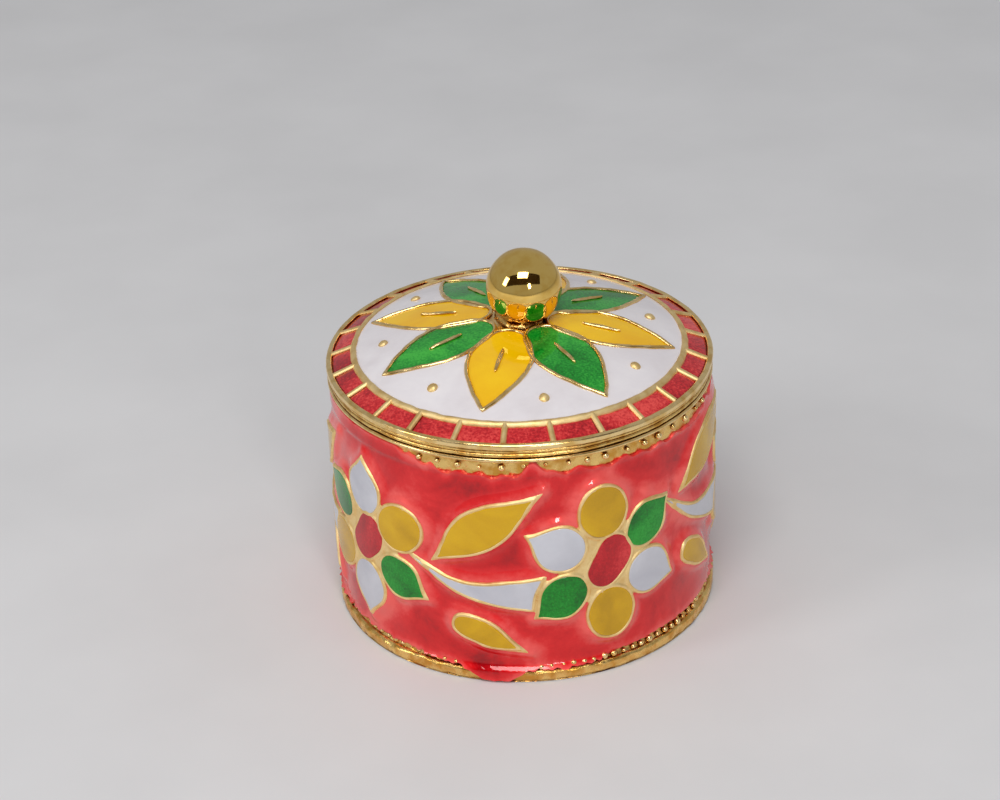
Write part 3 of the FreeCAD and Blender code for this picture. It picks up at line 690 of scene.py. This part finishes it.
thinness = ground.data.attributes.new("thinness", "FLOAT", "POINT")
for vertex in ground.data.vertices:
    angle = math.degrees(math.atan2(vertex.co.x, -vertex.co.y))
    share = vertex.co.z + 0.5
    top = upper_edge(angle)
    bottom = lower_edge(angle)
    height = bottom + (top - bottom) * share
    face = Vector((GROUND_RADIUS * math.sin(math.radians(angle)), -GROUND_RADIUS * math.cos(math.radians(angle)), height))
    edge = min(top - height, height - bottom)
    near = relief_tree.find(face * MM)[2] / MM
    swell = 0.30 * math.exp(-(near / 0.45) ** 2)
    radius = GROUND_RADIUS + swell + noise.noise(face / 2.2) * 0.06
    foot_cover = max(0.0, min(1.0, (FOOT_TOP + 0.35 - height) / 0.35))
    radius += foot_cover * 0.5
    border_cover = max(0.0, min(1.0, (height - 16.6) / 0.3))
    radius += border_cover * 0.12
    radius -= 0.35 * max(0.0, 1 - edge / 0.14) ** 2
    radius = min(radius, RELIEF_RADIUS - 0.02)
    vertex.co = Vector((radius * math.sin(math.radians(angle)), -radius * math.cos(math.radians(angle)), height)) * MM
    thinness.data[vertex.index].value = min(1.0, 0.8 * math.exp(-(near / 0.8) ** 2) + 0.8 * math.exp(-(edge / 0.6) ** 2))
skin = ground.modifiers.new("thickness", "SOLIDIFY")
skin.thickness = 0.2 * MM
skin.offset = -1
bpy.ops.object.modifier_apply(modifier=skin.name)
smooth(ground, 60)

# Clear red enamel over stippled brass: coral where it is thin, wine red where it is deep, and foil-like
# sparks of the metal through it.
ground_glaze = blank("clear_red_ground_enamel")
ground_spot = node(ground_glaze, "ShaderNodeTexCoord")
flow = node(ground_glaze, "ShaderNodeTexNoise", {"Scale": 170.0, "Detail": 4.0, "Roughness": 0.55, "Distortion": 0.8},
            {"Vector": (ground_spot, "Object")})
stipple = node(ground_glaze, "ShaderNodeTexNoise", {"Scale": 2600.0, "Detail": 3.0, "Roughness": 0.7},
               {"Vector": (ground_spot, "Object")})
thin = node(ground_glaze, "ShaderNodeAttribute", attribute_name="thinness")
raised = node(ground_glaze, "ShaderNodeMath", {1: 0.35}, {0: (thin, "Fac")}, operation="MULTIPLY")
level = node(ground_glaze, "ShaderNodeMath", links={0: (flow, "Fac"), 1: (raised, "Value")}, operation="ADD")
spark = node(ground_glaze, "ShaderNodeMapRange", {"To Min": -0.09, "To Max": 0.09}, {"Value": (stipple, "Fac")})
depth = node(ground_glaze, "ShaderNodeMath", links={0: (level, "Value"), 1: (spark, "Result")}, operation="ADD")
ground_colour = ramp(ground_glaze, depth, "Value",
                     [(0.34, "#9c0610"), (0.48, "#cc0c14"), (0.62, "#e01f22"), (0.85, "#f6605a")])
ripple = node(ground_glaze, "ShaderNodeTexNoise", {"Scale": 420.0, "Detail": 2.0}, {"Vector": (ground_spot, "Object")})
ground_bump = node(ground_glaze, "ShaderNodeBump", {"Strength": 0.25, "Distance": 0.08 * MM}, {"Height": (ripple, "Fac")})
ground_shader = node(ground_glaze, "ShaderNodeBsdfPrincipled",
                     {"Metallic": 0.2, "Roughness": 0.34, "Specular IOR Level": 0.0, "Coat Weight": 1.0,
                      "Coat Roughness": 0.05, "Coat IOR": 1.5},
                     {"Base Color": (ground_colour, "Color")})
ground_glaze.node_tree.links.new(ground_bump.outputs["Normal"], ground_shader.inputs["Coat Normal"])
finish(ground_glaze, ground_shader, ground_bump)
use_material(ground, ground_glaze)
own(ground, "box", "red_enamel", "red_ground_enamel")

# ------------------------------------------------------------------ lid plate
# The lid is a shallow dome of cast brass. Its upper side is sunk where enamel goes, and its underside
# is smooth and plain.

LID_RADIUS = 14.0
LID_APEX = 22.1
DOME_RADIUS = 34.5
RIM_BORE = 13.6
RIM_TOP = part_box("lid_rim_wire")[1][2] / MM
PLATE_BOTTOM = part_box("lid_plate")[0][2] / MM
PLATE_THICKNESS = 0.8
FLANGE_BORE = 12.15
SUNK = 0.2


def dome(radius):
    """The height of the lid's upper side at a distance from the axis, in millimetres."""
    return LID_APEX - DOME_RADIUS + math.sqrt(DOME_RADIUS ** 2 - radius ** 2)


plate_section = [(0, dome(0) - SUNK)]
plate_section += [(radius, dome(radius) - SUNK) for radius in range(1, 14)]
plate_section += [(RIM_BORE + 0.02, dome(RIM_BORE) - SUNK), (RIM_BORE + 0.02, PLATE_BOTTOM), (FLANGE_BORE, PLATE_BOTTOM)]
plate_section += [(radius, dome(radius) - PLATE_THICKNESS) for radius in (12.1, 10, 8, 6, 4, 2, 0)]
plate = lathe("lid_dome", plate_section)
worked(plate, 1.2, 0.015)
smooth(plate)
use_material(plate, bright_gold)
own(plate, "lid", "gold_plated_brass", "lid_plate")

# ------------------------------------------------------------------ lid skirt ring and flange
# Under the lid's edge lies a grooved ring, and inside it the flange that holds the lid on the box.

SKIRT_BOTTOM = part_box("lid_skirt_ring")[0][2] / MM
SKIRT_RADIUS = 13.9
FLANGE_RADIUS = 12.75
FLANGE_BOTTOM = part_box("lid_flange")[0][2] / MM
skirt_section = [(FLANGE_RADIUS, SKIRT_BOTTOM), (SKIRT_RADIUS - 0.2, SKIRT_BOTTOM)]
skirt_section += arc(SKIRT_RADIUS - 0.17, SKIRT_BOTTOM + 0.17, 0.17, -80, 80, 6)
skirt_section += arc(SKIRT_RADIUS - 0.17, SKIRT_BOTTOM + 0.49, 0.16, -80, 90, 6)
skirt_section += [(FLANGE_RADIUS, PLATE_BOTTOM)]
skirt = lathe("lid_grooved_ring", skirt_section, 360)
for vertex in skirt.data.vertices:
    if vertex.co.xy.length > (SKIRT_RADIUS - 0.3) * MM:
        dent = noise.noise(vertex.co / (1.5 * MM)) * 0.05 + noise.noise(vertex.co / (0.4 * MM)) * 0.03 - 0.02
        vertex.co.xy *= 1 + dent / SKIRT_RADIUS
smooth(skirt)
use_material(skirt, cast_gold)
own(skirt, "lid", "gold_plated_brass", "lid_skirt_ring")

flange_section = [(FLANGE_BORE, PLATE_BOTTOM), (FLANGE_BORE, FLANGE_BOTTOM + 0.15)]
flange_section += arc(FLANGE_BORE + 0.15, FLANGE_BOTTOM + 0.15, 0.15, 180, 270, 4)
flange_section += arc(FLANGE_RADIUS - 0.2, FLANGE_BOTTOM + 0.2, 0.2, -90, 0, 4)
flange_section += [(FLANGE_RADIUS, PLATE_BOTTOM)]
flange = lathe("lid_inner_flange", flange_section)
smooth(flange)
use_material(flange, turned_brass)
own(flange, "lid", "plain_brass", "lid_flange")

# ------------------------------------------------------------------ lid outlines
# The raised lines of the lid: round each petal, a vein in each, one round the white field, one between
# each two tiles, and the bright rim. They are cast with the plate and rubbed bright on top.

# The petals' angles, and how far their tips are from the axis: they were laid out by hand.
LID_PETALS = [(-14, 10.8), (33, 10.75), (79, 11.1), (124, 11.3),
              (166, 11.3), (209, 11.3), (252, 11.1), (297, 10.7)]
FIELD_RADIUS = 11.75
TILE_INNER = 12.2
TILE_OUTER = 13.5
TILES = 25
FIRST_TILE_GAP = -5.5
LINE_RADIUS = 0.15
LINE_MARGIN = 0.1
# Drawn pointing to the front, as shares of the way from the axis to the tip, and millimetres across.
LID_PETAL = [(0, 0.2, "round"), (1.95, 0.42, "round"), (2.1, 0.6, "round"), (1.1, 0.84, "round"), (0, 1.0, "sharp"),
             (-1.1, 0.84, "round"), (-2.1, 0.6, "round"), (-1.95, 0.42, "round")]
VEIN = [(0, 0.43, "sharp"), (0.06, 0.52, "round"), (0, 0.66, "sharp"), (-0.06, 0.52, "round")]


def petal_points(outline, tip):
    """A petal's or a vein's outline for a tip at a distance from the axis."""
    return [(across, -share * tip, corner) for across, share, corner in outline]




def lay(piece):
    """Lays a flat piece on the lid's dome: Z becomes the height over the dome."""
    for vertex in piece.data.vertices:
        reach = min(vertex.co.xy.length / MM, LID_RADIUS)
        vertex.co.z += dome(reach) * MM


def ring_wire(name, ring, radius, height):
    """A round wire ring that lies on the dome."""
    bpy.ops.object.select_all(action="DESELECT")
    bpy.ops.mesh.primitive_torus_add(major_radius=ring * MM, minor_radius=radius * MM, major_segments=ROUND_STEPS,
                                     minor_segments=12, location=(0, 0, height * MM))
    torus = bpy.context.object
    torus.name = name
    bpy.ops.object.transform_apply(location=True)
    return torus


random.seed(11)
lines = []
for angle, tip in LID_PETALS:
    petal_line = grown(petal_points(LID_PETAL, tip), LINE_MARGIN)
    lines.append(wire(drawn("petal_line", petal_line, -angle), LINE_RADIUS, -0.04))
    lines.append(wire(drawn("vein", petal_points(VEIN, tip), -angle), 0.11, 0.02))
lid_lines = joined("lid_petal_lines", lines)
lay(lid_lines)
worked(lid_lines, 0.6, 0.045)
smooth(lid_lines, 60)
use_material(lid_lines, bright_gold)
own(lid_lines, "lid", "gold_plated_brass", "lid_plate")

rings = [ring_wire("field_line", (FIELD_RADIUS + TILE_INNER) / 2, 0.24, -0.1)]
for number in range(TILES):
    turn = math.radians(FIRST_TILE_GAP + number * 360 / TILES + random.uniform(-0.7, 0.7))
    middle_ring = (TILE_INNER + TILE_OUTER) / 2
    bpy.ops.object.select_all(action="DESELECT")
    bpy.ops.mesh.primitive_cylinder_add(
        vertices=12, radius=0.23 * MM, depth=(TILE_OUTER - TILE_INNER + 0.3) * MM,
        location=(middle_ring * math.sin(turn) * MM, -middle_ring * math.cos(turn) * MM, -0.08 * MM),
        rotation=(math.radians(90), 0, turn))
    rings.append(bpy.context.object)
tile_frame = joined("lid_tile_frame", rings)
lay(tile_frame)
worked(tile_frame, 0.6, 0.045)
smooth(tile_frame, 60)
use_material(tile_frame, satin_gold)
own(tile_frame, "lid", "gold_plated_brass", "lid_plate")

# The middle of the flower is bare metal, uneven where the petals' lines run together.
middle_section = [(0, dome(0) - 0.3), (3.35, dome(3.35) - 0.3), (3.35, dome(3.35) - 0.15)]
middle_section += [(radius, dome(radius) - 0.12) for radius in (3.2, 2.8, 2.4, 2, 1.6, 1.2, 0.8, 0.4, 0)]
bare_middle = lathe("lid_bare_middle", middle_section, 96)
worked(bare_middle, 0.5, 0.05)
smooth(bare_middle, 60)
use_material(bare_middle, bright_gold)
own(bare_middle, "lid", "gold_plated_brass", "lid_plate")

# The rim wire: half round, soldered round the lid's edge and polished.
rim_section = [(RIM_BORE - 0.02, PLATE_BOTTOM), (LID_RADIUS - 0.12, PLATE_BOTTOM)]
rim_section += arc(LID_RADIUS - 0.12, PLATE_BOTTOM + 0.12, 0.12, -80, 0, 4)
rim_section += arc(LID_RADIUS - 0.2, RIM_TOP - 0.2, 0.2, 0, 90, 6)
rim_section += arc(RIM_BORE + 0.13, RIM_TOP - 0.15, 0.15, 90, 180, 5)
rim = lathe("lid_bright_rim", rim_section, 360)
worked(rim, 0.9, 0.02)
smooth(rim, 60)
use_material(rim, bright_gold)
own(rim, "lid", "gold_plated_brass", "lid_rim_wire")

# ------------------------------------------------------------------ lid enamel
# White fills the field, clear green and opaque yellow the petals, and clear red the tiles.

lid_yellow = enamel("opaque_yellow_enamel", "#fccb0a", "#f6bf02", "#f0b400", 0.0, 0.15, 0.08)
lid_green = enamel("clear_green_lid_enamel", "#3dbb3a", "#0f9226", "#066a14", 0.2, 0.16, 0.45)
lid_white = enamel("opaque_white_enamel", "#ebe6e7", "#e5dfe1", "#ded7d9", 0.0, 0.5, 0.1)
tile_red = enamel("clear_red_tile_enamel", "#f4524c", "#d02028", "#9c0e18", 0.25, 0.2, 0.5)

field_section = [(radius, dome(radius) - 0.3) for radius in (3, 6, 9, FIELD_RADIUS + 0.1)]
field_section += [(FIELD_RADIUS + 0.1, dome(FIELD_RADIUS) - 0.08)]
field_section += [(radius, dome(radius) - 0.07) for radius in (11.5, 11, 10, 9, 8, 7, 6, 5, 4, 3.2, 3)]
field = lathe("lid_white_enamel", field_section)
worked(field, 3.0, 0.01)
smooth(field)
use_material(field, lid_white)
own(field, "lid", "white_enamel", "lid_white_field")

for number, (angle, tip) in enumerate(LID_PETALS):
    colour = "green" if number % 2 else "yellow"
    petal = filled_cell(petal_points(LID_PETAL, tip), -angle, -0.25, -0.045, -0.02, 0.6)
    petal.name = f"lid_petal_{number + 1}_enamel"
    lay(petal)
    smooth(petal, 50)
    use_material(petal, lid_green if colour == "green" else lid_yellow)
    own(petal, "lid", f"{colour}_enamel", f"lid_petal_{number + 1}_{colour}")

tiles = []
for number in range(TILES):
    half = math.pi / TILES - 0.12 / TILE_INNER
    middle_turn = math.radians(FIRST_TILE_GAP) + (number + 0.5) * math.tau / TILES
    bpy.ops.object.select_all(action="DESELECT")
    bpy.ops.mesh.primitive_cube_add(size=1.0)
    tile = bpy.context.object
    bpy.ops.object.mode_set(mode="EDIT")
    bpy.ops.mesh.subdivide(number_cuts=7)
    bpy.ops.object.mode_set(mode="OBJECT")
    for vertex in tile.data.vertices:
        along, across, up = vertex.co * 2
        ring = (TILE_INNER + TILE_OUTER) / 2 + across * (TILE_OUTER - TILE_INNER) / 2
        turn = middle_turn + along * half
        crown = 0.05 * (1 - along ** 4) * (1 - across ** 4) if up > 0.9 else 0
        vertex.co = Vector((ring * math.sin(turn), -ring * math.cos(turn), -0.2 + 0.1 * up + crown)) * MM
    tiles.append(tile)
tile_piece = joined("lid_tile_enamel", tiles)
bpy.ops.object.mode_set(mode="EDIT")
bpy.ops.mesh.select_all(action="SELECT")
bpy.ops.mesh.normals_make_consistent(inside=False)
bpy.ops.object.mode_set(mode="OBJECT")
lay(tile_piece)
smooth(tile_piece, 50)
use_material(tile_piece, tile_red)
own(tile_piece, "lid", "red_enamel", "lid_red_tiles")

# ------------------------------------------------------------------ lid granules
# Eight small gold balls, one between each two petals, half sunk in the white enamel.

GRANULE_RING = 9.8
random.seed(7)
granules = []
for number, (angle, tip) in enumerate(LID_PETALS):
    half_gap = (LID_PETALS[(number + 1) % 8][0] - angle) % 360 / 2
    turn = math.radians(angle + half_gap)
    bpy.ops.object.select_all(action="DESELECT")
    bpy.ops.mesh.primitive_uv_sphere_add(
        segments=24, ring_count=12, radius=random.uniform(0.36, 0.42) * MM,
        location=(GRANULE_RING * math.sin(turn) * MM, -GRANULE_RING * math.cos(turn) * MM, -0.1 * MM))
    bpy.ops.transform.resize(value=(1, 1, 0.75))
    granules.append(bpy.context.object)
granule_piece = joined("lid_gold_granules", granules)
lay(granule_piece)
worked(granule_piece, 0.4, 0.03)
smooth(granule_piece, 60)
use_material(granule_piece, satin_gold)
own(granule_piece, "lid", "gold_plated_brass", "lid_granules")

# ------------------------------------------------------------------ knob
# A polished brass ball, plated gold, sits on a crumpled collar of solder. A pin holds it, with a washer
# and a rivet head inside the lid.

BALL_RADIUS = 2.8
# It was soldered by hand, a little off the middle.
BALL_SHIFT = 0.5
ball_low, ball_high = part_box("knob_ball")
bpy.ops.object.select_all(action="DESELECT")
bpy.ops.mesh.primitive_uv_sphere_add(segments=96, ring_count=64, radius=BALL_RADIUS * MM,
                                     location=(BALL_SHIFT * MM, 0, ball_high[2] - (BALL_RADIUS + 0.05) * MM))
ball = bpy.context.object
ball.name = "knob_polished_ball"
bpy.ops.transform.resize(value=(0.97, 0.97, 1.0))
bpy.ops.object.transform_apply(location=True, scale=True)
worked(ball, 1.9, 0.06)
smooth(ball, 80)
# Mirror-polished gold plate: warm and clear, with the faint haze of handling.
mirror_gold = gold("polished_gold_plate", "#f6cf74", "#edc162", 0.055, 0.8, 0.06, "#c08a3c")
use_material(ball, mirror_gold)
own(ball, "lid", "polished_gold_ball", "knob_ball")

bpy.ops.object.select_all(action="DESELECT")
bpy.ops.mesh.primitive_torus_add(major_radius=1.45 * MM, minor_radius=0.42 * MM, major_segments=120, minor_segments=20,
                                 location=(0.5 * BALL_SHIFT * MM, 0, (LID_APEX - 0.12) * MM))
collar = bpy.context.object
collar.name = "knob_solder_collar"
bpy.ops.object.transform_apply(location=True)
worked(collar, 0.7, 0.28)
worked(collar, 0.25, 0.08)
smooth(collar, 70)
use_material(collar, cast_gold)
own(collar, "lid", "gold_plated_brass", "knob_seat")

for name in ("knob_pin", "knob_washer"):
    for slot_index in range(len(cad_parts[name].material_slots)):
        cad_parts[name].material_slots[slot_index].material = turned_brass
